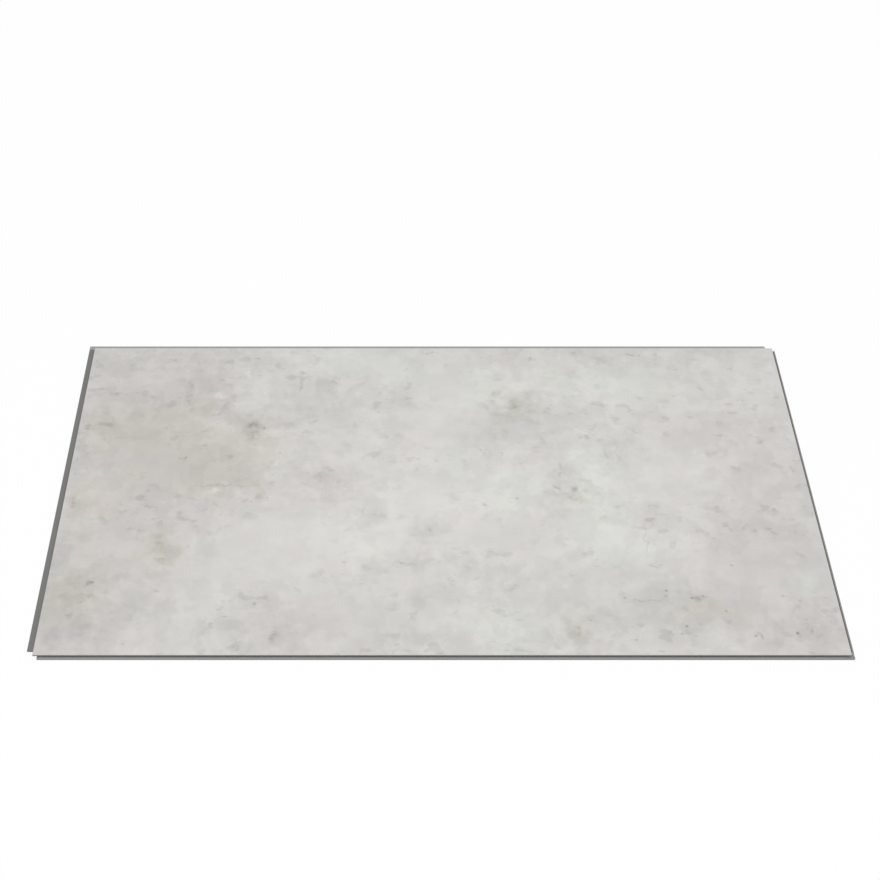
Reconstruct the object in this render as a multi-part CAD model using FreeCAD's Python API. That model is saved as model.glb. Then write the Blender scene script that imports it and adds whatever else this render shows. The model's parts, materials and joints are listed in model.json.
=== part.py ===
"""Click-together rigid PVC wall tile, lying on its back with the printed face up.

Millimetres, with +Z out of the printed face. The origin is on the back of the tile, under
the middle of the printed face, so copies of the tile set one FACE_LENGTH apart along X, or
one FACE_WIDTH apart along Y, click into each other and their printed faces meet.

The tile is a dark grey core board with a thin printed film laminated on its face. Two
neighbouring edges of the core, left (-X) and back (+Y), carry a tongue. The other two,
right (+X) and front (-Y), carry the groove, with a lower lip that runs out past the face
and ends in a locking ridge. Each edge is one cutter profile, run along the whole edge of a
flat blank, as the edges of such boards are milled.
"""

import FreeCAD, Part
import math
import os
from collections import namedtuple

# Printed face: what one tile covers on the wall.
FACE_LENGTH = 650.0
FACE_WIDTH = 375.0

# Layers.
CORE_THICKNESS = 4.7
FILM_THICKNESS = 0.3
FILM_BEVEL = 0.15

# Tongue: the long edge has a slightly shorter one than the short edge.
TONGUE_REACH_LONG_EDGE = 5.0
TONGUE_REACH_SHORT_EDGE = 5.5
TONGUE_THICKNESS = 1.4
TONGUE_TIP_RADIUS = 0.35
NOSE_LENGTH = 1.4
NOSE_DROP = 0.2
TAPER_LENGTH = 2.4
TAPER_RISE = 0.4

# Lower lip of the groove and the locking ridge on its end.
# The long edge has a shorter lip than the short edge.
LIP_THICKNESS = 1.75
RIDGE_HEIGHT = 0.7
RIDGE_FLANK = 0.4
RIDGE_TOP = 1.2
LIP_REACH_LONG_EDGE = 1.1
LIP_REACH_SHORT_EDGE = 2.9

# Clearances in the closed joint: above and below the tongue and the ridge, at the flank
# that locks, in front of the tongue, and past the end of the lip.
JOINT_PLAY = 0.1
LOCK_PLAY = 0.05
TIP_PLAY = 0.4
END_PLAY = 0.15

# The edges of two faces touch along a band under the print and are relieved below it.
CONTACT_BAND = 0.9
RELIEF = 0.15

# Rounding left by the cutters.
ROOT_RADIUS = 0.25
GROOVE_END_RADIUS = 0.4
EDGE_RADIUS = 0.15
LARGEST_ROUND_SHARE = 0.45

# How far the cutters run past the blank.
OVERRUN = 2.0

# Levels of the joint, up from the back of the tile.
tongue_bottom = LIP_THICKNESS + JOINT_PLAY
tongue_top = tongue_bottom + TONGUE_THICKNESS
groove_roof = tongue_top + JOINT_PLAY
ridge_top = LIP_THICKNESS + RIDGE_HEIGHT
recess_roof = ridge_top + JOINT_PLAY
contact_bottom = CORE_THICKNESS - CONTACT_BAND

# What differs between the joints of the two pairs of edges.
Joint = namedtuple("Joint", "tongue_reach groove_depth lip_reach")
LONG_EDGE = Joint(
    TONGUE_REACH_LONG_EDGE, TONGUE_REACH_LONG_EDGE + TIP_PLAY, LIP_REACH_LONG_EDGE
)
SHORT_EDGE = Joint(
    TONGUE_REACH_SHORT_EDGE, TONGUE_REACH_SHORT_EDGE + TIP_PLAY, LIP_REACH_SHORT_EDGE
)

# The face in plan, and how far the tongues and lips run round it. Each tongue stops a
# groove's depth short of the corner that it shares with a groove, and each lip starts where
# the recess for the neighbour's lip ends.
left = -FACE_LENGTH / 2
right = FACE_LENGTH / 2
front = -FACE_WIDTH / 2
back = FACE_WIDTH / 2
tongue_back = back + LONG_EDGE.tongue_reach
tongue_left = left - SHORT_EDGE.tongue_reach
tongue_right_end = right - SHORT_EDGE.groove_depth - END_PLAY
tongue_front_end = front + LONG_EDGE.groove_depth + END_PLAY
lip_front = front - LONG_EDGE.lip_reach
lip_right = right + SHORT_EDGE.lip_reach
lip_left_end = left + SHORT_EDGE.lip_reach + END_PLAY
lip_back_end = back - LONG_EDGE.lip_reach - END_PLAY


def rounded_section(points):
    """Face in the XZ plane through (x, z, corner radius) points, in order round it.

    A corner's arc touches both of its sides, and takes at most a share of the shorter one.
    """
    count = len(points)
    corners = []
    for index, (x, z, radius) in enumerate(points):
        corner = FreeCAD.Vector(x, 0, z)
        to_last = FreeCAD.Vector(points[index - 1][0], 0, points[index - 1][1]) - corner
        following = points[(index + 1) % count]
        to_next = FreeCAD.Vector(following[0], 0, following[1]) - corner
        half_angle = to_last.getAngle(to_next) / 2
        longest = LARGEST_ROUND_SHARE * min(to_last.Length, to_next.Length)
        setback = min(radius / math.tan(half_angle), longest)
        to_last.normalize()
        to_next.normalize()
        middle = None
        if setback > 0:
            inward = (to_last + to_next).normalize()
            arc_radius = setback * math.tan(half_angle)
            middle = corner + inward * (arc_radius / math.sin(half_angle) - arc_radius)
        corners.append((corner + to_last * setback, middle, corner + to_next * setback))
    edges = []
    for index, (arc_start, middle, arc_end) in enumerate(corners):
        if middle:
            edges.append(Part.Arc(arc_start, middle, arc_end).toShape())
        next_start = corners[(index + 1) % count][0]
        edges.append(Part.LineSegment(arc_end, next_start).toShape())
    return Part.Face(Part.Wire(edges))


def joint_face():
    """Points down the face edge: the contact band, then the relief under it."""
    return [
        (0, CORE_THICKNESS + OVERRUN, 0),
        (0, contact_bottom, 0),
        (-RELIEF, contact_bottom - RELIEF, 0),
    ]


def waste_round_tongue(joint):
    """Section that the cutter takes off beside a tongue; X runs outward from the face edge.

    Under the face it leaves a recess for the neighbour's lip, with a flank that its ridge
    catches on.
    """
    tongue_reach = joint.tongue_reach
    past_tongue = tongue_reach + OVERRUN
    recess_depth = joint.lip_reach + END_PLAY
    flank_top = joint.lip_reach - RIDGE_TOP - LOCK_PLAY
    heel = flank_top - RIDGE_FLANK
    return rounded_section(
        joint_face()
        + [
            (-RELIEF, tongue_top, ROOT_RADIUS),
            (tongue_reach - NOSE_LENGTH, tongue_top, EDGE_RADIUS),
            (tongue_reach, tongue_top - NOSE_DROP, TONGUE_TIP_RADIUS),
            (tongue_reach, tongue_bottom + TAPER_RISE, TONGUE_TIP_RADIUS),
            (tongue_reach - TAPER_LENGTH, tongue_bottom, EDGE_RADIUS),
            (-heel, tongue_bottom, EDGE_RADIUS),
            (-flank_top, recess_roof, EDGE_RADIUS),
            (-recess_depth, recess_roof, EDGE_RADIUS),
            (-recess_depth, -OVERRUN, 0),
            (past_tongue, -OVERRUN, 0),
            (past_tongue, CORE_THICKNESS + OVERRUN, 0),
        ]
    )


def waste_round_lip(joint):
    """Section that the cutter takes off above and inside a groove, over its lower lip."""
    lip_reach = joint.lip_reach
    past_lip = lip_reach + OVERRUN
    flank_top = lip_reach - RIDGE_TOP
    ridge_foot = flank_top - RIDGE_FLANK
    return rounded_section(
        joint_face()
        + [
            (-RELIEF, groove_roof, EDGE_RADIUS),
            (-joint.groove_depth, groove_roof, GROOVE_END_RADIUS),
            (-joint.groove_depth, LIP_THICKNESS + TAPER_RISE, GROOVE_END_RADIUS),
            (TAPER_LENGTH - joint.tongue_reach, LIP_THICKNESS, EDGE_RADIUS),
            (ridge_foot, LIP_THICKNESS, EDGE_RADIUS),
            (flank_top, ridge_top, EDGE_RADIUS),
            (lip_reach, ridge_top, EDGE_RADIUS),
            (lip_reach, -OVERRUN, 0),
            (past_lip, -OVERRUN, 0),
            (past_lip, CORE_THICKNESS + OVERRUN, 0),
        ]
    )


def blank():
    """Flat board before its edges are milled."""
    outline = [
        (lip_left_end, lip_front),
        (lip_right, lip_front),
        (lip_right, lip_back_end),
        (right, lip_back_end),
        (right, back),
        (tongue_right_end, back),
        (tongue_right_end, tongue_back),
        (tongue_left, tongue_back),
        (tongue_left, tongue_front_end),
        (left, tongue_front_end),
        (left, front),
        (lip_left_end, front),
    ]
    corners = [FreeCAD.Vector(x, y, 0) for x, y in outline + outline[:1]]
    face = Part.Face(Part.makePolygon(corners))
    return face.extrude(FreeCAD.Vector(0, 0, CORE_THICKNESS))


def corner_notch():
    """Waste under the face at the front left corner, where the neighbours' joints cross."""
    low = FreeCAD.Vector(tongue_left, lip_front, -OVERRUN)
    high = FreeCAD.Vector(lip_left_end, tongue_front_end, groove_roof)
    size = high - low
    return Part.makeBox(size.x, size.y, size.z, low)


def cutter(section, quarter_turns, face_edge):
    """Waste along one whole edge; no turn is the +X edge, one is +Y, and so on round."""
    past_face = max(LONG_EDGE + SHORT_EDGE) + OVERRUN
    run = max(FACE_LENGTH, FACE_WIDTH) + 2 * past_face
    waste = section.extrude(FreeCAD.Vector(0, run, 0))
    waste.translate(FreeCAD.Vector(face_edge, -run / 2, 0))
    waste.rotate(FreeCAD.Vector(), FreeCAD.Vector(0, 0, 1), 90 * quarter_turns)
    return waste


def core_board():
    """Milled board: grooves on the right and front edges, tongues on the left and back."""
    right_groove = cutter(waste_round_lip(SHORT_EDGE), 0, right)
    back_tongue = cutter(waste_round_tongue(LONG_EDGE), 1, back)
    left_tongue = cutter(waste_round_tongue(SHORT_EDGE), 2, right)
    front_groove = cutter(waste_round_lip(LONG_EDGE), 3, back)
    board = blank()
    for waste in (right_groove, back_tongue, left_tongue, front_groove, corner_notch()):
        board = board.cut(waste)
    return board


def decor_film():
    """Printed film on the face, its top edges eased all round."""
    corner = FreeCAD.Vector(left, front, CORE_THICKNESS)
    sheet = Part.makeBox(FACE_LENGTH, FACE_WIDTH, FILM_THICKNESS, corner)
    middle = CORE_THICKNESS + FILM_THICKNESS / 2
    top_edges = [edge for edge in sheet.Edges if edge.BoundBox.ZMin > middle]
    return sheet.makeChamfer(FILM_BEVEL, top_edges)


def main():
    os.makedirs("parts", exist_ok=True)
    pieces = {"core_board": core_board(), "decor_film": decor_film()}
    for name, shape in pieces.items():
        solid = shape.Solids[0]
        solid.exportStep(f"parts/{name}.step")
        size = solid.BoundBox
        print(
            f"{name}: {len(shape.Solids)} solid, valid {shape.isValid()}, "
            f"{size.XLength:.2f} x {size.YLength:.2f} x {size.ZLength:.2f} mm, "
            f"{solid.Volume / 1000:.1f} cm3"
        )


main()
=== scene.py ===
"""Finishes and studio stage for a click-together PVC wall tile, built on its CAD solids.

The tile lies face up with its back at height zero: a dark grey core board with milled
edges, and a thin film with a light concrete print on its face.

Blender lengths are in metres. Prints and tool marks are laid out in millimetres, with x to
the right and y to the back from the middle of the face, and print tones are given in levels
of a display that has 255 of them, lighter above zero and darker below.
"""

import json
import math
from collections import namedtuple

import bpy
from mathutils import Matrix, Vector


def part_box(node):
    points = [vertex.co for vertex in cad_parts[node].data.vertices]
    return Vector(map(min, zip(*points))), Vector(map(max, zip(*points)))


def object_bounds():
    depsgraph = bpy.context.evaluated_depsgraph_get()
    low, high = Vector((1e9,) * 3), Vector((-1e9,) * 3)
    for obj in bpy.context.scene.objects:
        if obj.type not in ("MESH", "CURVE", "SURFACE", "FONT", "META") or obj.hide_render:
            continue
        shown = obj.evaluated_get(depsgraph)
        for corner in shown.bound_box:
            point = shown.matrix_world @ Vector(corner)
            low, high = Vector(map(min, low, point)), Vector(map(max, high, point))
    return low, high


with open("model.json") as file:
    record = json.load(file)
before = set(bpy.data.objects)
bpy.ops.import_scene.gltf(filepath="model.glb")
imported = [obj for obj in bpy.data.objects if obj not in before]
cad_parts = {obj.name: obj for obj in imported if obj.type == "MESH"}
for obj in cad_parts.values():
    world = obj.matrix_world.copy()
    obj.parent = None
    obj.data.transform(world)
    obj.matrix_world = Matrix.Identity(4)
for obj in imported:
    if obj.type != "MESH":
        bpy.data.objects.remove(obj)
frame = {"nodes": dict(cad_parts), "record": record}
cad_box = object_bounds()

bl_info = {
    "name": "PVC Wall Tile",
    "version": (1, 0, 0),
    "blender": (4, 5, 0),
    "location": "3D View > Sidebar > Wall Tile",
    "description": "Finishes and studio stage for a click-together PVC wall tile",
    "category": "Material",
}

MM_PER_METRE = 1000
SLOT_COLOURS = {slot["slot"]: slot["base_color"] for slot in frame["record"]["materials"]}

# Printed face, read from the film's own solid.
face_low, face_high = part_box("decor_film")
FACE_HALF_LENGTH_MM = (face_high.x - face_low.x) / 2 * MM_PER_METRE
FACE_HALF_WIDTH_MM = (face_high.y - face_low.y) / 2 * MM_PER_METRE

# Share of a light tone by which one display level changes it in linear light.
LIGHT_PER_LEVEL = 0.011

# A surface that faces up by more than this share is flat, and not a side or an eased edge.
FLAT = 0.9

# Where the lips lie: their top, and how far they reach in under the face; they also bound
# where light is painted on the core.
LIP_TOP_MM = 2.5
LIP_INNER_REACH_MM = 4

# Highest that the rolled back of the board counts as back.
BACK_MARGIN_MM = 0.1

# Sum of a wash's spots at which its colour starts to show.
WASH_START = 0.15

# How far the bare ground between the washes lies off the mean colour of the print.
GROUND_LEAN = (1.3, 1.45, 1.3)

# Strength of the trowel strokes across the tile, as a share of those along it.
CROSS_STROKE_SHARE = 0.9

# The noise of the print is laid out from a point off the tile, as its sizes would all line
# up on that point, and its chips from another one.
SCATTER_OFFSET = (700, 500, 0)
CHIP_OFFSET = (50, 70, 0)

# How much the filler grains roughen the PVC, and how high they are beside the cutter lines.
GRAIN_SHARE_OF_ROUGHNESS = 0.2
GRAIN_SHARE_OF_RELIEF = 0.5

# Noise that tears the edges of the shades and washes, and those of the marks, and that
# leaves gaps in the marks. Sizes are in millimetres, and so is the reach of a tear.
TORN_SHADES = {"Size": 16, "Detail": 4, "Roughness": 0.6, "Strength": 34}
RAGGED_MARKS = {"Size": 9, "Detail": 3, "Roughness": 0.5, "Strength": 6}
GAPS_IN_MARKS = {"Size": 5, "Detail": 2, "Roughness": 0.5, "Strength": 1.6}

# Mottling of the print, whose strengths are among its settings.
CLOUDS = {"Size": 42, "Stretch": (1.3, 1, 1), "Detail": 3, "Roughness": 0.5}
FINE_MOTTLE = {"Size": 14, "Stretch": (1.2, 1, 1), "Detail": 3, "Roughness": 0.5}
STROKES_ALONG = {"Size": 8, "Stretch": (2.5, 1, 1), "Detail": 3, "Roughness": 0.45}
STROKES_ACROSS = {"Size": 8, "Stretch": (1, 2.5, 1), "Detail": 3, "Roughness": 0.45}
TINT_DRIFT = {"Size": 25, "Detail": 5, "Roughness": 0.7}

# Patches of the print, and the rough areas to which its smudges and pits keep.
PATCHES = {"Size": 26, "Detail": 3, "Roughness": 0.5, "Start": 0.46, "Full": 0.54}
ROUGH_AREAS = {"Size": 70, "Roughness": 0.6, "Start": 0.42, "Full": 0.6}

# Smudges and pits, and how many display levels each kind is off the ground.
SMEARS = {
    "Size": 13,
    "Stretch": (1.2, 1, 1),
    "Detail": 2,
    "Roughness": 0.45,
    "Start": 0.6,
    "Full": 0.72,
}
STREAKS = {"Size": 5, "Stretch": (2.2, 1, 1), "Detail": 2, "Start": 0.68, "Full": 0.8}
CHIPS = {"Size": 5, "Detail": 2, "Start": 0.64, "Full": 0.78}
PITS = {"Spacing": 20, "Radius": 0.09, "Share": 0.3}
SMEAR_LEVELS = -9
STREAK_LEVELS = -11
CHIP_LEVELS = 5
PIT_LEVELS = -10

# Wear layer: how its sheen varies, and the grain embossed in it.
SHEEN = {"Size": 6, "Detail": 4, "Strength": 0.12}
WEAR_LAYER_GRAIN = {"Size": 1.6, "Stretch": (1.6, 1, 1), "Detail": 3}

# Core board: filler grains, broad patches, lines from the cutter and marks of the rollers.
FILLER_GRAINS = {"Size": 0.7, "Detail": 4, "Roughness": 0.7}
FILLER_PATCHES = {"Size": 26, "Detail": 3}
LONG_EDGE_LINES = {"Size": 0.5, "Stretch": (400, 1, 1), "Detail": 3}
SHORT_EDGE_LINES = {"Size": 0.5, "Stretch": (1, 400, 1), "Detail": 3}
ROLLER_MARKS = {"Size": 9, "Stretch": (12, 1, 1), "Detail": 5}

WHITE = (1, 1, 1, 1)
FLOOR_COLOUR = (0.95, 0.95, 0.95, 1)

# Turn of a camera from looking straight down to looking level.
LEVEL_VIEW = math.radians(90)

# A soft spot of the print: its middle and half sizes in millimetres, how strong it is, and
# how far its long axis is turned from x in degrees.
Spot = namedtuple("Spot", "x y along across levels turn", defaults=(0,))

# Broad shades of the print, dark below zero and light above, and the patches among them.
SHADES = (
    Spot(-285, 85, 170, 140, -12),
    Spot(-205, 28, 82, 54, -8, turn=-25),
    Spot(-266, 80, 50, 34, -4),
    Spot(-214, 150, 46, 46, -6),
    Spot(-310, -128, 84, 96, -16),
    Spot(-262, -32, 96, 60, -8),
    Spot(-275, -178, 54, 30, -4),
    Spot(-178, 4, 50, 34, -8),
    Spot(-250, 16, 50, 34, -4),
    Spot(-10, -30, 190, 115, 8),
    Spot(-110, -72, 110, 44, 6),
    Spot(20, 118, 110, 60, 5),
    Spot(-60, 155, 60, 34, 4),
    Spot(75, 0, 60, 44, 5),
    Spot(150, -20, 90, 90, 5),
    Spot(205, 18, 56, 50, 7),
    Spot(200, -60, 50, 40, 4),
    Spot(137, 27, 30, 36, 6),
    Spot(150, -62, 60, 40, 6),
    Spot(170, 130, 90, 44, 7),
    Spot(30, -155, 80, 40, 9),
    Spot(-195, -120, 70, 56, 2),
    Spot(-150, 118, 60, 40, 5),
    Spot(285, -60, 84, 130, -9),
    Spot(215, -140, 66, 48, -9),
    Spot(305, -165, 70, 46, -13),
    Spot(262, 55, 80, 56, -6),
    Spot(158, -122, 60, 44, -4),
    Spot(180, -165, 60, 40, -4),
    Spot(-130, -170, 70, 36, -7),
    Spot(-164, 76, 24, 22, -13),
    Spot(-232, -70, 24, 34, -9),
    Spot(-301, -22, 30, 26, -6),
    Spot(74, 102, 34, 34, -13),
    Spot(60, 76, 66, 40, -8),
    Spot(105, 62, 60, 34, -3),
    Spot(112, 16, 24, 34, -9),
    Spot(124, -8, 26, 18, -10),
    Spot(165, 42, 22, 40, -6),
    Spot(108, -162, 26, 36, -12),
    Spot(58, -116, 36, 28, -5),
    Spot(-34, -90, 54, 22, -6),
    Spot(-7, -55, 14, 18, -8),
    Spot(-62, -28, 30, 30, -9),
    Spot(-98, 10, 54, 30, -12),
    Spot(-116, 132, 40, 56, -7),
    Spot(-30, 116, 44, 22, -7),
    Spot(-190, 95, 54, 18, -5, turn=-40),
    Spot(-137, -176, 30, 26, -6),
    Spot(-178, -160, 34, 26, -6),
    Spot(-244, -141, 40, 36, -5),
    Spot(110, 178, 110, 20, -4),
    Spot(-290, 172, 80, 26, -7),
    Spot(-200, 172, 50, 22, -2),
    Spot(206, -131, 34, 20, -4),
    Spot(183, -36, 30, 24, -6),
    Spot(260, 115, 34, 34, -5),
    Spot(300, 138, 40, 44, 2),
    Spot(300, -108, 36, 30, 4),
    Spot(-105, 166, 54, 36, 8),
    Spot(-8, 172, 42, 36, 7),
    Spot(55, 132, 38, 44, 7),
    Spot(106, 176, 34, 26, 9),
    Spot(150, 182, 34, 30, -7),
    Spot(250, 190, 110, 18, -6),
    Spot(274, 128, 58, 60, 5),
    Spot(-186, 118, 26, 22, 5),
    Spot(-141, 96, 36, 34, -6),
    Spot(112, 104, 38, 34, -5),
    Spot(25, 50, 50, 40, 4),
    Spot(228, 60, 50, 30, 4),
    Spot(-278, 28, 40, 40, -5),
    Spot(-78, 11, 36, 18, 6),
    Spot(103, -15, 30, 26, -11),
    Spot(254, -36, 46, 40, 5),
    Spot(-324, -60, 26, 90, -6),
    Spot(-242, -84, 30, 30, -7),
    Spot(140, -90, 40, 40, 4),
    Spot(-104, -146, 64, 34, -4),
    Spot(-82, -113, 30, 22, 5),
    Spot(-284, -135, 36, 18, 6),
    Spot(72, -140, 34, 34, -7),
    Spot(305, -135, 30, 34, 6),
    Spot(-14, -154, 62, 44, -11),
    Spot(-230, -80, 230, 150, -1.5),
    Spot(150, 80, 240, 160, 2),
    Spot(-55, 118, 28, 44, 6),
    Spot(-252, 159, 44, 20, 6),
    Spot(-120, 74, 26, 30, 5),
    Spot(-48, 36, 30, 24, 4),
    Spot(122, 20, 24, 34, 6),
    Spot(116, 136, 64, 22, 6),
    Spot(142, 82, 28, 24, 6),
    Spot(14, 100, 60, 36, 3),
    Spot(297, 60, 26, 30, 4),
    Spot(306, -16, 34, 60, 4),
    Spot(-281, -36, 24, 30, 5),
    Spot(-170, 46, 44, 26, -4),
    Spot(-115, 108, 30, 34, -5),
    Spot(-224, 118, 34, 36, -4),
    Spot(-136, -9, 34, 28, -5),
    Spot(-209, -66, 24, 60, -4),
    Spot(-232, -122, 40, 26, -6),
    Spot(-285, -114, 60, 16, -5),
    Spot(-312, -152, 44, 40, -8),
    Spot(-155, -142, 26, 22, -5),
    Spot(20, -88, 44, 24, -5),
    Spot(162, -30, 30, 30, -5),
    Spot(150, -145, 30, 28, -6),
    Spot(100, -172, 60, 24, -5),
)

# Where the print is calm, with fewer and fainter small marks.
CALM = (
    Spot(-138, -72, 100, 60, 1.4),
    Spot(14, 112, 56, 100, 1.1),
    Spot(-62, 184, 50, 28, 1.2),
    Spot(48, -56, 80, 36, 1.1),
    Spot(204, 18, 44, 76, 1.1),
    Spot(-16, -12, 36, 32, 1),
    Spot(-258, 30, 40, 60, 1, turn=20),
    Spot(262, -96, 90, 36, 1),
    Spot(-62, -152, 56, 44, 1),
    Spot(-215, -168, 70, 30, 0.9),
    Spot(142, -104, 36, 28, 0.9),
    Spot(200, 138, 50, 22, 0.7),
    Spot(-262, 160, 70, 34, 0.8),
)

# Washes of colour over the shades. Each says how far it moves red, green and blue where it
# is full, in display levels, and its spots overlap to a full wash at one.
WASHES = {
    "brown": (
        (1.6, -0.3, -2.1),
        (
            Spot(-256, 68, 110, 50, 1.5),
            Spot(-200, 34, 70, 56, 1.7, turn=-20),
            Spot(-164, 76, 26, 24, 2),
            Spot(-200, 2, 60, 24, 1.3),
            Spot(-222, 104, 30, 26, 1.5),
            Spot(-152, 56, 26, 30, 1.5),
            Spot(-266, 14, 40, 20, 1.5),
            Spot(-300, 92, 50, 26, 1.2),
            Spot(-306, -18, 36, 36, 1.5),
            Spot(-235, -70, 28, 36, 2),
            Spot(-306, -126, 54, 46, 1.8),
            Spot(218, -140, 34, 20, 1.8),
            Spot(-308, -60, 34, 26, 0.8),
        ),
    ),
    "olive": (
        (0.3, 0.4, -2.0),
        (
            Spot(74, 102, 30, 34, 2),
            Spot(108, -160, 22, 36, 1.8),
            Spot(120, -11, 24, 12, 1.6),
        ),
    ),
    "rose": (
        (1.7, -0.5, 0.2),
        (
            Spot(-246, 142, 100, 34, 1.7),
            Spot(-300, 128, 44, 26, 1),
            Spot(-282, 30, 40, 22, 1.4),
            Spot(-244, -32, 96, 36, 1.7),
            Spot(-150, -10, 66, 22, 1.5),
            Spot(-94, -2, 46, 20, 1.6),
            Spot(-244, -104, 54, 30, 1.2, turn=20),
            Spot(-280, -172, 80, 28, 1.6),
            Spot(-116, -154, 62, 38, 1.1),
            Spot(250, 76, 84, 26, 1.5),
            Spot(278, 22, 50, 66, 1.9),
            Spot(268, -62, 64, 70, 1.9),
            Spot(242, -98, 66, 30, 1.3),
            Spot(-288, -78, 50, 28, 1.4),
            Spot(290, -160, 80, 44, 1.8),
        ),
    ),
    "cool": (
        (-2.1, 0.7, -0.4),
        (
            Spot(-60, 164, 110, 34, 1.1),
            Spot(44, 134, 40, 36, 1.6),
            Spot(-22, 136, 34, 36, 0.9),
            Spot(116, 136, 54, 26, 1.6),
            Spot(176, 138, 54, 34, 1.6),
            Spot(220, 108, 28, 40, 0.7),
            Spot(66, -4, 40, 36, 1.7),
            Spot(14, 26, 44, 22, 1.3, turn=35),
            Spot(138, 24, 36, 50, 1.8),
            Spot(142, -46, 36, 60, 1.8),
            Spot(160, -76, 46, 24, 1.2),
            Spot(54, -163, 46, 34, 1.7),
            Spot(-198, -108, 36, 26, 0.6),
            Spot(300, -110, 26, 26, 0.8),
        ),
    ),
}

# Small marks of the print. Each tone says how far one level of its marks moves red, green
# and blue.
MARKS = {
    "dark": (
        (-1.0, -0.98, -0.98),
        (
            Spot(-165, 80, 8, 5, 17),
            Spot(-164, 68, 2.5, 10, 10),
            Spot(-125, 132, 3.5, 9, 15),
            Spot(-123, 152, 4, 3, 12),
            Spot(-95, 138, 5, 4, 10),
            Spot(-295, 122, 9, 5, 13),
            Spot(-228, 134, 4, 16, 9),
            Spot(-228, 112, 4, 4, 12),
            Spot(-112, 85, 7, 5, 11, turn=20),
            Spot(-95, 22, 6, 4, 13),
            Spot(-40, 32, 5, 4, 8),
            Spot(-65, -30, 4, 10, 10),
            Spot(-8, -52, 4, 7, 13),
            Spot(-30, -90, 13, 2.5, 13),
            Spot(-62, -95, 6, 5, 8),
            Spot(106, -1, 6, 5, 15),
            Spot(121, -2, 5, 5, 13),
            Spot(110, 27, 4, 7, 13),
            Spot(111, 16, 5, 3, 10),
            Spot(134, 64, 8, 3, 12, turn=-20),
            Spot(97, 58, 5, 4, 8),
            Spot(152, 42, 1.8, 16, 9),
            Spot(162, 42, 1.8, 22, 9),
            Spot(182, -40, 6, 5, 14),
            Spot(175, -66, 1.4, 26, 13),
            Spot(180, -94, 1.8, 7, 11, turn=35),
            Spot(170, -131, 20, 1.6, 12),
            Spot(212, -128, 7, 4, 16),
            Spot(255, -168, 3, 9, 13, turn=40),
            Spot(297, -160, 3, 9, 15),
            Spot(60, -118, 12, 4, 9),
            Spot(-135, -170, 6, 8, 13),
            Spot(-153, -136, 4, 3, 12),
            Spot(-290, -112, 5, 5, 16),
            Spot(-302, -146, 4, 4, 14),
            Spot(-234, -121, 6, 3, 9, turn=-30),
            Spot(-185, -157, 5, 4, 10),
            Spot(-207, 53, 4, 3, 10, turn=-30),
            Spot(-225, 36, 5, 3.5, 11),
            Spot(-272, 17, 4, 4, 10),
            Spot(-245, 75, 4, 3, 10),
            Spot(-190, 2, 44, 2.2, 8),
            Spot(190, 178, 10, 3.5, 14),
            Spot(93, 172, 6, 3, 12, turn=-30),
            Spot(132, 182, 7, 3, 12),
            Spot(-246, 169, 9, 4, 11),
            Spot(-3, 180, 12, 2.5, 9),
            Spot(-27, 114, 10, 4, 10),
            Spot(245, 42, 7, 6, 9),
            Spot(290, -30, 6, 6, 12),
            Spot(282, -50, 5, 3, 9),
            Spot(314, 22, 3, 5, 11),
            Spot(249, 129, 8, 3, 8),
        ),
    ),
    "olive": (
        (-0.8, -0.82, -1.1),
        (
            Spot(-237, -66, 7, 17, 8),
            Spot(-235, -86, 8, 2.5, 9),
            Spot(73, 104, 5, 11, 11),
            Spot(90, 97, 8, 4, 10),
            Spot(117, -14, 9, 3, 15),
            Spot(110, -162, 4, 12, 11),
            Spot(198, -164, 6, 6, 10),
            Spot(-185, 38, 4, 5, 9),
            Spot(-224, 100, 6, 5, 8),
            Spot(-297, 82, 10, 8, 6),
        ),
    ),
    "red": (
        (-0.75, -1.02, -1.0),
        (
            Spot(-315, 77, 9, 5, 12),
            Spot(-317, -20, 5, 8, 12),
            Spot(257, 66, 10, 4, 9),
            Spot(266, 22, 8, 5, 9),
            Spot(-104, 14, 9, 5, 7),
        ),
    ),
    "light": (
        (1.0, 1.02, 1.0),
        (
            Spot(-142, 28, 6, 8, 8),
            Spot(-198, 120, 8, 7, 8),
            Spot(-193, -4, 8, 5, 9),
            Spot(-176, 152, 4, 12, 7),
            Spot(135, 69, 4, 3, 7),
            Spot(57, -110, 8, 5, 6),
            Spot(255, -15, 4, 3, 8),
            Spot(287, 74, 4, 3, 8),
            Spot(-118, 139, 5, 2, 8),
            Spot(126, -8, 3, 6, 7),
        ),
    ),
}

# Crisp dark pores of the print, and how far one level of them moves red, green and blue.
PORE_TINT = (-1.0, -0.98, -0.98)
PORES = (
    Spot(286, -165, 2, 2.2, 34),
    Spot(186, -120, 2, 1.8, 26),
    Spot(185, -126, 1.8, 1.8, 20),
    Spot(151, -128, 2.4, 2, 20),
    Spot(206, -128, 2.2, 1.8, 24),
    Spot(215, -126, 2, 2, 18),
    Spot(244, -92, 2.2, 2, 18),
    Spot(198, -158, 1.9, 1.9, 30),
    Spot(193, -166, 2.2, 2, 18),
    Spot(232, -142, 2.2, 2, 18),
    Spot(281, -126, 2.6, 2, 16),
    Spot(252, -168, 2.5, 2.2, 24),
    Spot(40, 47, 2.2, 2.2, 15),
    Spot(69, -14, 2.4, 2.2, 18),
    Spot(-156, 75, 1.6, 1.6, 24),
    Spot(-140, 43, 2, 1.8, 18),
    Spot(-162, -18, 1.8, 1.6, 16),
)


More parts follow.
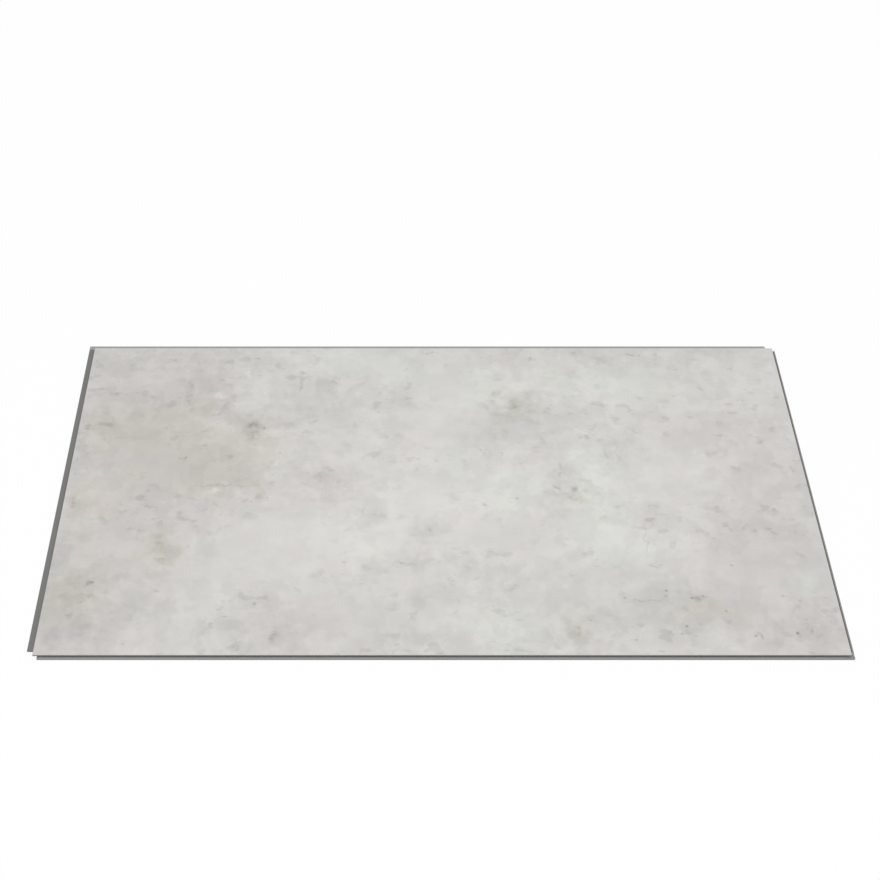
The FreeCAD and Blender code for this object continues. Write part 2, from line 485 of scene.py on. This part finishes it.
class CoreFinish(bpy.types.PropertyGroup):
    """Grey rigid PVC of the core board, with painted light on its lips, front groove and
    back tongue.
    """

    colour: bpy.props.FloatVectorProperty(
        name="Colour",
        description="Colour of the milled PVC",
        subtype="COLOR",
        size=3,
        min=0,
        max=1,
        default=SLOT_COLOURS["core"],
    )
    # Painted light: the front lip is painted paler for the light it catches.
    lit_front_lip: bpy.props.FloatProperty(
        name="Front lip",
        description="How much paler the thin lip of the front groove is",
        subtype="FACTOR",
        min=0,
        max=1,
        default=0.66,
    )
    # Painted light: the shaded front edge above the lip is painted paler against its shade.
    lit_front_groove: bpy.props.FloatProperty(
        name="Front groove",
        description="How much paler the front edge is above its lip",
        subtype="FACTOR",
        min=0,
        max=1,
        default=0.2,
    )
    # Painted light: the right lip is painted paler for the light it catches.
    lit_right_lip: bpy.props.FloatProperty(
        name="Right lip",
        description="How much paler the thin lip of the right groove is",
        subtype="FACTOR",
        min=0,
        max=1,
        default=0.55,
    )
    # Painted light: the back tongue is painted paler, as if no shade fell on it.
    lit_back_tongue: bpy.props.FloatProperty(
        name="Back tongue",
        description="How much paler the tongue on the back edge is",
        subtype="FACTOR",
        min=0,
        max=1,
        default=1,
    )
    speckle: bpy.props.FloatProperty(
        name="Speckle",
        description="How much the filler grains in the PVC differ from its colour",
        subtype="FACTOR",
        min=0,
        max=1,
        default=0.08,
    )
    cutter_lines: bpy.props.FloatProperty(
        name="Cutter lines",
        description="How much the lines along a milled edge differ from its colour",
        subtype="FACTOR",
        min=0,
        max=1,
        default=0.12,
    )
    line_depth: bpy.props.FloatProperty(
        name="Line depth",
        description="Depth of the lines that the cutter leaves",
        unit="LENGTH",
        min=0,
        default=0.00004,
    )
    roughness: bpy.props.FloatProperty(
        name="Roughness",
        description="Roughness of the milled PVC",
        subtype="FACTOR",
        min=0,
        max=1,
        default=0.62,
    )


class DecorPrint(bpy.types.PropertyGroup):
    """Light concrete print of the film."""

    ground: bpy.props.FloatVectorProperty(
        name="Ground colour",
        description="Mean colour of the print",
        subtype="COLOR",
        size=3,
        min=0,
        max=1,
        default=SLOT_COLOURS["decor"],
    )
    # The film's bare sides and eased edges: partly their own dark colour, partly painted
    # shade that carries the shaded edge line onto the eased edge, which faces the light.
    bare_edge_and_shade: bpy.props.FloatVectorProperty(
        name="Sawn side colour",
        description="Colour of the film's sides and eased edges, where no print is left",
        subtype="COLOR",
        size=3,
        min=0,
        max=1,
        default=(0.26, 0.257, 0.25),
    )
    shades: bpy.props.FloatProperty(
        name="Shades",
        description="Strength of the broad dark and light shades",
        subtype="FACTOR",
        min=0,
        max=2,
        default=1,
    )
    washes: bpy.props.FloatProperty(
        name="Washes",
        description="Strength of the washes of colour",
        subtype="FACTOR",
        min=0,
        max=2,
        default=1,
    )
    marks: bpy.props.FloatProperty(
        name="Marks",
        description="Strength of the small marks and of the pores",
        subtype="FACTOR",
        min=0,
        max=2,
        default=1.25,
    )
    calm: bpy.props.FloatProperty(
        name="Calm",
        description="How much fainter the small marks are where the print is calm",
        subtype="FACTOR",
        min=0,
        max=1,
        default=0.65,
    )
    mottle: bpy.props.FloatProperty(
        name="Mottle",
        description="Spread of the cloudy mottling, in display levels",
        min=0,
        max=20,
        default=7,
    )
    fine_mottle: bpy.props.FloatProperty(
        name="Fine mottle",
        description="Spread of the fine mottling, in display levels",
        min=0,
        max=20,
        default=5,
    )
    strokes: bpy.props.FloatProperty(
        name="Trowel strokes",
        description="Spread of the fine strokes along and across, in display levels",
        min=0,
        max=20,
        default=2.2,
    )
    patches: bpy.props.FloatProperty(
        name="Patches",
        description="Step between the lighter and darker small patches, in display levels",
        min=0,
        max=20,
        default=5,
    )
    tint_drift: bpy.props.FloatProperty(
        name="Tint drift",
        description="How far the mottling wanders between warm and cool, in display levels",
        min=0,
        max=10,
        default=1.2,
    )
    relief: bpy.props.FloatProperty(
        name="Relief",
        description="Depth of the emboss in the wear layer",
        unit="LENGTH",
        min=0,
        default=0.00003,
    )
    roughness: bpy.props.FloatProperty(
        name="Roughness",
        description="Roughness of the satin wear layer",
        subtype="FACTOR",
        min=0,
        max=1,
        default=0.5,
    )


class StudioStage(bpy.types.PropertyGroup):
    """White floor, soft lamp and camera."""

    camera_place: bpy.props.FloatVectorProperty(
        name="Camera",
        description="Where the camera stands",
        subtype="TRANSLATION",
        unit="LENGTH",
        size=3,
        default=(-0.0397, -0.998, 1.0128),
    )
    camera_pitch: bpy.props.FloatProperty(
        name="Camera pitch",
        description="How far below the horizon the camera looks",
        subtype="ANGLE",
        unit="ROTATION",
        default=math.radians(43.618),
    )
    lens: bpy.props.FloatProperty(
        name="Lens",
        description="Focal length of the camera",
        subtype="DISTANCE_CAMERA",
        unit="CAMERA",
        min=10,
        default=66.16,
    )
    sensor: bpy.props.FloatProperty(
        name="Sensor",
        description="Width of the camera's sensor",
        subtype="DISTANCE_CAMERA",
        unit="CAMERA",
        min=1,
        default=36,
    )
    shift: bpy.props.FloatProperty(
        name="Shift",
        description="Sideways shift of the view, as a share of its width",
        default=0.0545,
    )
    room_level: bpy.props.FloatProperty(
        name="Room light",
        description="Strength of the white room around the tile",
        min=0,
        max=2,
        default=0.58,
    )
    lamp_place: bpy.props.FloatVectorProperty(
        name="Lamp",
        description="Where the soft lamp hangs, facing the middle of the tile",
        subtype="TRANSLATION",
        unit="LENGTH",
        size=3,
        default=(-0.3, -1.2, 2.6),
    )
    lamp_size: bpy.props.FloatProperty(
        name="Lamp size",
        description="Side of the square lamp",
        unit="LENGTH",
        min=0.1,
        default=2.6,
    )
    lamp_power: bpy.props.FloatProperty(
        name="Lamp power",
        description="Power of the lamp",
        unit="POWER",
        min=0,
        default=47,
    )
    floor_size: bpy.props.FloatProperty(
        name="Floor size",
        description="Side of the square floor",
        unit="LENGTH",
        min=1,
        default=60,
    )
    floor_shade: bpy.props.FloatProperty(
        name="Floor shade",
        description="How much of the tile's shade shows on the white floor",
        subtype="FACTOR",
        min=0,
        max=1,
        default=0.06,
    )


def place(tree, kind, inputs=None, **settings):
    """Add a node to a tree.

    An input given as a socket is linked, and any other value is set on it.
    """
    node = tree.nodes.new(kind)
    for name, value in settings.items():
        setattr(node, name, value)
    for name, value in (inputs or {}).items():
        if isinstance(value, bpy.types.NodeSocket):
            tree.links.new(value, node.inputs[name])
        else:
            node.inputs[name].default_value = value
    return node


def maths(tree, operation, *values, **settings):
    """Result of a Math node."""
    inputs = dict(enumerate(values))
    return place(tree, "ShaderNodeMath", inputs, operation=operation, **settings).outputs[0]


def vector_maths(tree, operation, *values):
    """Vector result of a Vector Math node; a number counts for all three axes."""
    inputs = {
        index: (value,) * 3 if isinstance(value, (int, float)) else value
        for index, value in enumerate(values)
    }
    return place(tree, "ShaderNodeVectorMath", inputs, operation=operation).outputs[0]


def dot(tree, first, second):
    """Dot product of two vectors."""
    inputs = {0: first, 1: second}
    node = place(tree, "ShaderNodeVectorMath", inputs, operation="DOT_PRODUCT")
    return node.outputs["Value"]


def xyz(tree, vector):
    """The three parts of a vector."""
    return place(tree, "ShaderNodeSeparateXYZ", {"Vector": vector}).outputs


# Places of the two inputs and the output of each kind of Mix node among its sockets.
MIX_SOCKETS = {"FLOAT": (2, 3, 0), "RGBA": (6, 7, 2)}


def mix(tree, factor, first, second, kind):
    """Blend of two values, or of two colours, by a factor."""
    first_socket, second_socket, result = MIX_SOCKETS[kind]
    inputs = {0: factor, first_socket: first, second_socket: second}
    return place(tree, "ShaderNodeMix", inputs, data_type=kind).outputs[result]


def new_group(name, inputs, outputs):
    """Empty shader group with its sockets; gives the group, its inputs and its outputs.

    Each input is (name, kind, default), and each output (name, kind).
    """
    group = bpy.data.node_groups.new(name, "ShaderNodeTree")
    for title, kind, default in inputs:
        socket = group.interface.new_socket(title, in_out="INPUT", socket_type=kind)
        socket.default_value = default
    for title, kind in outputs:
        group.interface.new_socket(title, in_out="OUTPUT", socket_type=kind)
    entry = group.nodes.new("NodeGroupInput")
    result = group.nodes.new("NodeGroupOutput")
    return group, entry.outputs, result.inputs


def use_group(tree, group, **inputs):
    """Outputs of a group placed in a tree."""
    return place(tree, "ShaderNodeGroup", inputs, node_tree=group).outputs


def cloudy_group(name, dimensions):
    """Cloudy variation about zero, at one size and all the finer ones."""
    group, given, result = new_group(
        name,
        (
            ("Point", "NodeSocketVector", (0, 0, 0)),
            ("Size", "NodeSocketFloat", 10),
            ("Stretch", "NodeSocketVector", (1, 1, 1)),
            ("Detail", "NodeSocketFloat", 4),
            ("Roughness", "NodeSocketFloat", 0.5),
            ("Strength", "NodeSocketFloat", 1),
        ),
        (("Value", "NodeSocketFloat"), ("Vector", "NodeSocketVector")),
    )
    stretched = vector_maths(group, "DIVIDE", given["Point"], given["Stretch"])
    noise = place(
        group,
        "ShaderNodeTexNoise",
        {
            "Vector": stretched,
            "Scale": maths(group, "DIVIDE", 1, given["Size"]),
            "Detail": given["Detail"],
            "Roughness": given["Roughness"],
        },
        noise_dimensions=dimensions,
    )
    twice = maths(group, "MULTIPLY", given["Strength"], 2)
    centred = maths(group, "SUBTRACT", noise.outputs["Fac"], 0.5)
    group.links.new(maths(group, "MULTIPLY", centred, twice), result["Value"])
    centred = vector_maths(group, "SUBTRACT", noise.outputs["Color"], 0.5)
    group.links.new(vector_maths(group, "MULTIPLY", centred, twice), result["Vector"])
    return group


def mottle_group():
    """Mottling through a solid."""
    return cloudy_group("mottle", "3D")


def print_mottle_group():
    """Mottling over a flat print."""
    return cloudy_group("print_mottle", "2D")


def smudge_group():
    """Ragged smudges: one where a cloudy variation passes its start, zero elsewhere."""
    group, given, result = new_group(
        "smudges",
        (
            ("Point", "NodeSocketVector", (0, 0, 0)),
            ("Size", "NodeSocketFloat", 10),
            ("Stretch", "NodeSocketVector", (1, 1, 1)),
            ("Detail", "NodeSocketFloat", 3),
            ("Roughness", "NodeSocketFloat", 0.5),
            ("Start", "NodeSocketFloat", 0.6),
            ("Full", "NodeSocketFloat", 0.75),
        ),
        (("Mask", "NodeSocketFloat"),),
    )
    stretched = vector_maths(group, "DIVIDE", given["Point"], given["Stretch"])
    noise = place(
        group,
        "ShaderNodeTexNoise",
        {
            "Vector": stretched,
            "Scale": maths(group, "DIVIDE", 1, given["Size"]),
            "Detail": given["Detail"],
            "Roughness": given["Roughness"],
        },
        noise_dimensions="2D",
    )
    mask = place(
        group,
        "ShaderNodeMapRange",
        {
            "Value": noise.outputs["Fac"],
            "From Min": given["Start"],
            "From Max": given["Full"],
        },
        interpolation_type="SMOOTHSTEP",
    )
    group.links.new(mask.outputs[0], result["Mask"])
    return group


def spot_group():
    """One soft spot, added to the sum of those before it.

    A point times Scale plus Offset lies inside the spot where it is shorter than one.
    """
    group, given, result = new_group(
        "soft_spot",
        (
            ("Point", "NodeSocketVector", (0, 0, 0)),
            ("Scale", "NodeSocketVector", (1, 1, 0)),
            ("Offset", "NodeSocketVector", (0, 0, 0)),
            ("Levels", "NodeSocketFloat", 1),
            ("Sum", "NodeSocketFloat", 0),
        ),
        (("Sum", "NodeSocketFloat"),),
    )
    near = vector_maths(
        group, "MULTIPLY_ADD", given["Point"], given["Scale"], given["Offset"]
    )
    inward = maths(group, "SUBTRACT", 1, dot(group, near, near))
    inward = maths(group, "MAXIMUM", inward, 0)
    hump = maths(group, "MULTIPLY", inward, inward)
    total = maths(group, "MULTIPLY_ADD", hump, given["Levels"], given["Sum"])
    group.links.new(total, result["Sum"])
    return group


def pit_group():
    """Small pits scattered at random, one to a cell, of which only a share is there.

    The radius is that of the largest ones, as a share of the spacing.
    """
    group, given, result = new_group(
        "pits",
        (
            ("Point", "NodeSocketVector", (0, 0, 0)),
            ("Spacing", "NodeSocketFloat", 10),
            ("Radius", "NodeSocketFloat", 0.1),
            ("Share", "NodeSocketFloat", 0.5),
        ),
        (("Mask", "NodeSocketFloat"),),
    )
    cells = place(
        group,
        "ShaderNodeTexVoronoi",
        {"Vector": given["Point"], "Scale": maths(group, "DIVIDE", 1, given["Spacing"])},
        voronoi_dimensions="2D",
    )
    draws = place(group, "ShaderNodeSeparateColor", {"Color": cells.outputs["Color"]})
    there = maths(group, "LESS_THAN", draws.outputs["Red"], given["Share"])
    own_radius = maths(group, "MULTIPLY", given["Radius"], draws.outputs["Green"])
    pit = place(
        group,
        "ShaderNodeMapRange",
        {
            "Value": cells.outputs["Distance"],
            "From Min": own_radius,
            "From Max": 0,
        },
        interpolation_type="SMOOTHSTEP",
    )
    group.links.new(maths(group, "MULTIPLY", pit.outputs[0], there), result["Mask"])
    return group


def shared_group(name):
    """The group of that name, made if this file doesn't have it yet."""
    return bpy.data.node_groups.get(name) or GROUPS[name]()


GROUPS = {
    "mottle": mottle_group,
    "print_mottle": print_mottle_group,
    "smudges": smudge_group,
    "soft_spot": spot_group,
    "pits": pit_group,
}


def point_in_millimetres(tree):
    """Place on the tile in its own axes, in millimetres."""
    coordinates = place(tree, "ShaderNodeTexCoord")
    return vector_maths(tree, "MULTIPLY", coordinates.outputs["Object"], MM_PER_METRE)


def facing_up(tree):
    """How squarely the surface faces up: one on the face, minus one on the back."""
    return xyz(tree, place(tree, "ShaderNodeTexCoord").outputs["Normal"])["Z"]


def spot_sum(tree, spots, point, strength):
    """Sum of a list of soft spots at a point."""
    group = shared_group("soft_spot")
    total = 0
    for spot in spots:
        middle = Vector((spot.x, spot.y, 0))
        scale = Vector((1 / spot.along, 1 / spot.across, 0))
        turned = point
        if spot.turn:
            turned = place(
                tree,
                "ShaderNodeVectorRotate",
                {"Vector": point, "Center": middle, "Angle": -math.radians(spot.turn)},
                rotation_type="Z_AXIS",
            ).outputs[0]
        total = use_group(
            tree,
            group,
            Point=turned,
            Scale=scale,
            Offset=-middle * scale,
            Levels=spot.levels * strength,
            Sum=total,
        )["Sum"]
    return total


def new_material(name):
    """Material with an empty tree but for its Principled BSDF, which it gives as well."""
    material = bpy.data.materials.new(name)
    material.use_nodes = True
    tree = material.node_tree
    return material, tree, tree.nodes["Principled BSDF"]


def emboss(tree, surface, height, depth):
    """Raise a surface by a height that runs over it, times a depth in metres."""
    bump = place(
        tree,
        "ShaderNodeBump",
        {"Height": height, "Distance": depth, "Strength": 1},
    )
    tree.links.new(bump.outputs["Normal"], surface.inputs["Normal"])


def wear(node_name, material):
    """Put a material on every slot of a CAD node."""
    piece = frame["nodes"][node_name]
    for slot in piece.material_slots:
        slot.material = material


class WALLTILE_OT_print_decor(bpy.types.Operator):
    """Print the film with light concrete: clouds, mottling, smudges, streaks and marks"""

    bl_idname = "wall_tile.print_decor"
    bl_label = "Print the decor film"

    def execute(self, context):
        settings = context.scene.wall_tile_decor
        material, tree, surface = new_material("concrete_print")
        mottle = shared_group("print_mottle")
        point = point_in_millimetres(tree)

        shift = vector_maths(
            tree,
            "ADD",
            self.placed_tones(tree, settings, point),
            self.scattered_tones(tree, settings, point),
        )
        light = vector_maths(tree, "MULTIPLY_ADD", shift, LIGHT_PER_LEVEL, 1)
        print_colour = vector_maths(tree, "MULTIPLY", tuple(settings.ground), light)
        # Off the flat face the film takes its bare edge colour, which on the eased edge is
        # partly painted shade.
        on_face = maths(tree, "GREATER_THAN", facing_up(tree), FLAT)
        edge_colour_and_shade = (*settings.bare_edge_and_shade, 1)
        colour = mix(tree, on_face, edge_colour_and_shade, print_colour, "RGBA")
        tree.links.new(colour, surface.inputs["Base Color"])

        sheen = use_group(tree, mottle, Point=point, **SHEEN)
        roughness = maths(tree, "ADD", sheen["Value"], settings.roughness, use_clamp=True)
        tree.links.new(roughness, surface.inputs["Roughness"])

        grain = use_group(tree, mottle, Point=point, **WEAR_LAYER_GRAIN)
        emboss(tree, surface, grain["Value"], settings.relief)

        wear("decor_film", material)
        return {"FINISHED"}

    def placed_tones(self, tree, settings, point):
        """Shades, washes, marks and pores that each have their own place."""
        mottle = shared_group("print_mottle")
        off_middle = vector_maths(tree, "ADD", point, SCATTER_OFFSET)
        tear = use_group(tree, mottle, Point=off_middle, **TORN_SHADES)
        torn = vector_maths(tree, "ADD", point, tear["Vector"])
        shift = spot_sum(tree, SHADES, torn, settings.shades)
        for tint, spots in WASHES.values():
            wash = place(
                tree,
                "ShaderNodeMapRange",
                {
                    "Value": spot_sum(tree, spots, torn, 1),
                    "From Min": WASH_START,
                    "To Max": settings.washes,
                },
                interpolation_type="SMOOTHSTEP",
            )
            shift = vector_maths(tree, "MULTIPLY_ADD", wash.outputs[0], tint, shift)

        rag = use_group(tree, mottle, Point=off_middle, **RAGGED_MARKS)
        ragged = vector_maths(tree, "ADD", point, rag["Vector"])
        marks = (0, 0, 0)
        for tint, spots in MARKS.values():
            total = spot_sum(tree, spots, ragged, settings.marks)
            marks = vector_maths(tree, "MULTIPLY_ADD", total, tint, marks)
        gaps = use_group(tree, mottle, Point=off_middle, **GAPS_IN_MARKS)
        broken = maths(tree, "ADD", gaps["Value"], 1)
        shift = vector_maths(tree, "MULTIPLY_ADD", marks, broken, shift)
        pores = spot_sum(tree, PORES, point, settings.marks)
        return vector_maths(tree, "MULTIPLY_ADD", pores, PORE_TINT, shift)

    def scattered_tones(self, tree, settings, point):
        """Mottling, strokes, patches, smudges and pits, all over the face."""
        mottle = shared_group("print_mottle")
        off_middle = vector_maths(tree, "ADD", point, SCATTER_OFFSET)
        broad, *fine = (
            use_group(tree, mottle, Point=off_middle, Strength=strength, **layer)["Value"]
            for layer, strength in (
                (CLOUDS, settings.mottle),
                (FINE_MOTTLE, settings.fine_mottle),
                (STROKES_ALONG, settings.strokes),
                (STROKES_ACROSS, settings.strokes * CROSS_STROKE_SHARE),
            )
        )
        small = -settings.patches / 2
        for value in fine:
            small = maths(tree, "ADD", value, small)

        smudges = shared_group("smudges")
        patches = use_group(tree, smudges, Point=off_middle, **PATCHES)
        rough_areas = use_group(tree, smudges, Point=off_middle, **ROUGH_AREAS)
        damage = self.damage(tree, settings, off_middle)
        small = maths(tree, "MULTIPLY_ADD", rough_areas["Mask"], damage, small)
        small = maths(tree, "MULTIPLY_ADD", patches["Mask"], settings.patches, small)

        calm = maths(tree, "MINIMUM", spot_sum(tree, CALM, point, 1), 1)
        share_left = maths(tree, "MULTIPLY_ADD", calm, -settings.calm, 1)
        levels = maths(tree, "MULTIPLY_ADD", small, share_left, broad)
        levels = vector_maths(tree, "ADD", GROUND_LEAN, levels)

        drift = use_group(tree, mottle, Point=off_middle, **TINT_DRIFT)
        drift = xyz(tree, drift["Vector"])
        size = settings.tint_drift
        tinted = vector_maths(tree, "MULTIPLY_ADD", drift[0], (size, 0, -size), levels)
        return vector_maths(tree, "MULTIPLY_ADD", drift[1], (0, size, 0), tinted)

    def damage(self, tree, settings, point):
        """Levels of the smears, streaks, chips and pits at a point."""
        smudges = shared_group("smudges")
        on_chips = vector_maths(tree, "ADD", point, CHIP_OFFSET)
        total = 0
        for group, at, layer, levels in (
            (smudges, point, SMEARS, SMEAR_LEVELS),
            (smudges, point, STREAKS, STREAK_LEVELS),
            (smudges, on_chips, CHIPS, CHIP_LEVELS),
            (shared_group("pits"), point, PITS, PIT_LEVELS),
        ):
            mask = use_group(tree, group, Point=at, **layer)["Mask"]
            total = maths(tree, "MULTIPLY_ADD", mask, levels * settings.marks, total)
        return total


class WALLTILE_OT_finish_core(bpy.types.Operator):
    """Finish the grey core board: filler speckle, cutter lines on its edges, rolled back"""

    bl_idname = "wall_tile.finish_core"
    bl_label = "Finish the core board"

    def execute(self, context):
        settings = context.scene.wall_tile_core
        material, tree, surface = new_material("milled_grey_pvc")
        mottle = shared_group("mottle")
        point = point_in_millimetres(tree)

        lines = self.lines(tree, point)
        grains = use_group(tree, mottle, Point=point, **FILLER_GRAINS)
        patches = use_group(tree, mottle, Point=point, **FILLER_PATCHES)
        # The tone starts from the painted light on the lips, front groove and back tongue.
        tone = maths(tree, "ADD", self.painted_light(tree, settings, point), 1)
        tone = maths(tree, "MULTIPLY_ADD", lines, settings.cutter_lines, tone)
        for variation in (grains, patches):
            tone = maths(
                tree, "MULTIPLY_ADD", variation["Value"], settings.speckle, tone
            )
        colour = vector_maths(tree, "MULTIPLY", tuple(settings.colour), tone)
        tree.links.new(colour, surface.inputs["Base Color"])

        roughness = maths(
            tree,
            "MULTIPLY_ADD",
            grains["Value"],
            GRAIN_SHARE_OF_ROUGHNESS,
            settings.roughness,
            use_clamp=True,
        )
        tree.links.new(roughness, surface.inputs["Roughness"])
        height = maths(
            tree, "MULTIPLY_ADD", grains["Value"], GRAIN_SHARE_OF_RELIEF, lines
        )
        emboss(tree, surface, height, settings.line_depth)

        wear("core_board", material)
        return {"FINISHED"}

    def painted_light(self, tree, settings, point):
        """Painted light: how much paler the lips, front groove and back tongue are painted.
        """
        # The lips and back tongue are painted paler for the light they catch, and the front
        # groove's shaded recess is painted paler against its shade.
        parts = xyz(tree, point)
        on_right = maths(
            tree, "GREATER_THAN", parts["X"], FACE_HALF_LENGTH_MM - LIP_INNER_REACH_MM
        )
        on_front = maths(
            tree, "LESS_THAN", parts["Y"], LIP_INNER_REACH_MM - FACE_HALF_WIDTH_MM
        )
        on_tongue = maths(tree, "GREATER_THAN", parts["Y"], FACE_HALF_WIDTH_MM)
        low = maths(tree, "LESS_THAN", parts["Z"], LIP_TOP_MM)
        off_back = maths(tree, "GREATER_THAN", facing_up(tree), -FLAT)
        right = maths(tree, "MULTIPLY", low, settings.lit_right_lip)
        front = mix(tree, low, settings.lit_front_groove, settings.lit_front_lip, "FLOAT")
        lit_grooves = maths(
            tree,
            "MAXIMUM",
            maths(tree, "MULTIPLY", on_right, right),
            maths(tree, "MULTIPLY", on_front, front),
        )
        return maths(
            tree,
            "MAXIMUM",
            maths(tree, "MULTIPLY", lit_grooves, off_back),
            maths(tree, "MULTIPLY", on_tongue, settings.lit_back_tongue),
        )

    def lines(self, tree, point):
        """Lines along each edge from the cutter, and across the back from the rollers."""
        mottle = shared_group("mottle")
        parts = xyz(tree, point)
        along_long_edge = use_group(tree, mottle, Point=point, **LONG_EDGE_LINES)
        along_short_edge = use_group(tree, mottle, Point=point, **SHORT_EDGE_LINES)
        past_end = maths(
            tree, "SUBTRACT", maths(tree, "ABSOLUTE", parts["X"]), FACE_HALF_LENGTH_MM
        )
        past_side = maths(
            tree, "SUBTRACT", maths(tree, "ABSOLUTE", parts["Y"]), FACE_HALF_WIDTH_MM
        )
        on_short_edge = maths(tree, "GREATER_THAN", past_end, past_side)
        milled = mix(
            tree,
            on_short_edge,
            along_long_edge["Value"],
            along_short_edge["Value"],
            "FLOAT",
        )
        rolled = use_group(tree, mottle, Point=point, **ROLLER_MARKS)
        facing_down = maths(tree, "LESS_THAN", facing_up(tree), -FLAT)
        at_bottom = maths(tree, "LESS_THAN", parts["Z"], BACK_MARGIN_MM)
        on_back = maths(tree, "MULTIPLY", facing_down, at_bottom)
        return mix(tree, on_back, milled, rolled["Value"], "FLOAT")


def seen_directly(tree):
    """One for rays from the camera, a mirror or glass, and zero for all others."""
    rays = place(tree, "ShaderNodeLightPath").outputs
    seen = rays["Is Camera Ray"]
    for name in ("Is Glossy Ray", "Is Transmission Ray"):
        seen = maths(tree, "MAXIMUM", seen, rays[name])
    return seen


def floor_material(shade):
    """White floor on which a share of the tile's shade still shows."""
    material, tree, surface = new_material("white_floor")
    surface.inputs["Base Color"].default_value = FLOOR_COLOUR
    surface.inputs["Roughness"].default_value = 1
    surface.inputs["Specular IOR Level"].default_value = 0
    white = place(tree, "ShaderNodeEmission", {"Color": WHITE, "Strength": 1})
    share = maths(tree, "MULTIPLY", seen_directly(tree), 1 - shade)
    both = place(
        tree,
        "ShaderNodeMixShader",
        {0: share, 1: surface.outputs[0], 2: white.outputs[0]},
    )
    tree.links.new(both.outputs[0], tree.nodes["Material Output"].inputs["Surface"])
    return material


class WALLTILE_OT_set_stage(bpy.types.Operator):
    """Set up the white floor, the soft lamp, the room's light and the camera"""

    bl_idname = "wall_tile.set_stage"
    bl_label = "Set up the stage"

    def execute(self, context):
        scene = context.scene
        settings = scene.wall_tile_stage
        scene.view_settings.view_transform = "Standard"
        self.lay_floor(scene, settings)
        self.light_room(scene, settings)
        self.hang_lamp(scene, settings)
        self.put_camera(scene, settings)
        return {"FINISHED"}

    def lay_floor(self, scene, settings):
        half = settings.floor_size / 2
        corners = [(-half, -half), (half, -half), (half, half), (-half, half)]
        mesh = bpy.data.meshes.new("floor")
        mesh.from_pydata([(x, y, cad_box[0].z) for x, y in corners], [], [(0, 1, 2, 3)])
        mesh.materials.append(floor_material(settings.floor_shade))
        floor = bpy.data.objects.new("floor", mesh)
        scene.collection.objects.link(floor)

    def light_room(self, scene, settings):
        world = bpy.data.worlds.new("white_room")
        scene.world = world
        world.use_nodes = True
        tree = world.node_tree
        strength = mix(tree, seen_directly(tree), settings.room_level, 1, "FLOAT")
        background = tree.nodes["Background"]
        background.inputs["Color"].default_value = WHITE
        tree.links.new(strength, background.inputs["Strength"])

    def hang_lamp(self, scene, settings):
        lamp = bpy.data.lights.new("soft_lamp", "AREA")
        lamp.shape = "SQUARE"
        lamp.size = settings.lamp_size
        lamp.energy = settings.lamp_power
        holder = bpy.data.objects.new("soft_lamp", lamp)
        holder.location = settings.lamp_place
        towards_tile = -holder.location
        holder.rotation_euler = towards_tile.to_track_quat("-Z", "Y").to_euler()
        scene.collection.objects.link(holder)

    def put_camera(self, scene, settings):
        view = bpy.data.cameras.new("camera")
        view.lens = settings.lens
        view.sensor_width = settings.sensor
        view.shift_x = settings.shift
        camera = bpy.data.objects.new("camera", view)
        camera.location = settings.camera_place
        camera.rotation_euler = (LEVEL_VIEW - settings.camera_pitch, 0, 0)
        scene.collection.objects.link(camera)
        scene.camera = camera


class WALLTILE_PT_panel(bpy.types.Panel):
    """Settings and steps of the wall tile"""

    bl_label = "Wall Tile"
    bl_idname = "WALLTILE_PT_panel"
    bl_space_type = "VIEW_3D"
    bl_region_type = "UI"
    bl_category = "Wall Tile"

    def draw(self, context):
        for settings_name, _, step in PARTS:
            box = self.layout.box()
            settings = getattr(context.scene, settings_name)
            for name in settings.__annotations__:
                box.prop(settings, name)
            box.operator(step.bl_idname)


# Each part of the panel: where its settings hang on the scene, their class, and its step.
PARTS = (
    ("wall_tile_core", CoreFinish, WALLTILE_OT_finish_core),
    ("wall_tile_decor", DecorPrint, WALLTILE_OT_print_decor),
    ("wall_tile_stage", StudioStage, WALLTILE_OT_set_stage),
)


def register():
    for settings_name, group, step in PARTS:
        bpy.utils.register_class(group)
        bpy.utils.register_class(step)
        setattr(bpy.types.Scene, settings_name, bpy.props.PointerProperty(type=group))
    bpy.utils.register_class(WALLTILE_PT_panel)


def unregister():
    bpy.utils.unregister_class(WALLTILE_PT_panel)
    for settings_name, group, step in reversed(PARTS):
        delattr(bpy.types.Scene, settings_name)
        bpy.utils.unregister_class(step)
        bpy.utils.unregister_class(group)


def main():
    register()
    bpy.ops.wall_tile.finish_core()
    bpy.ops.wall_tile.print_decor()
    bpy.ops.wall_tile.set_stage()


if __name__ == "__main__":
    main()
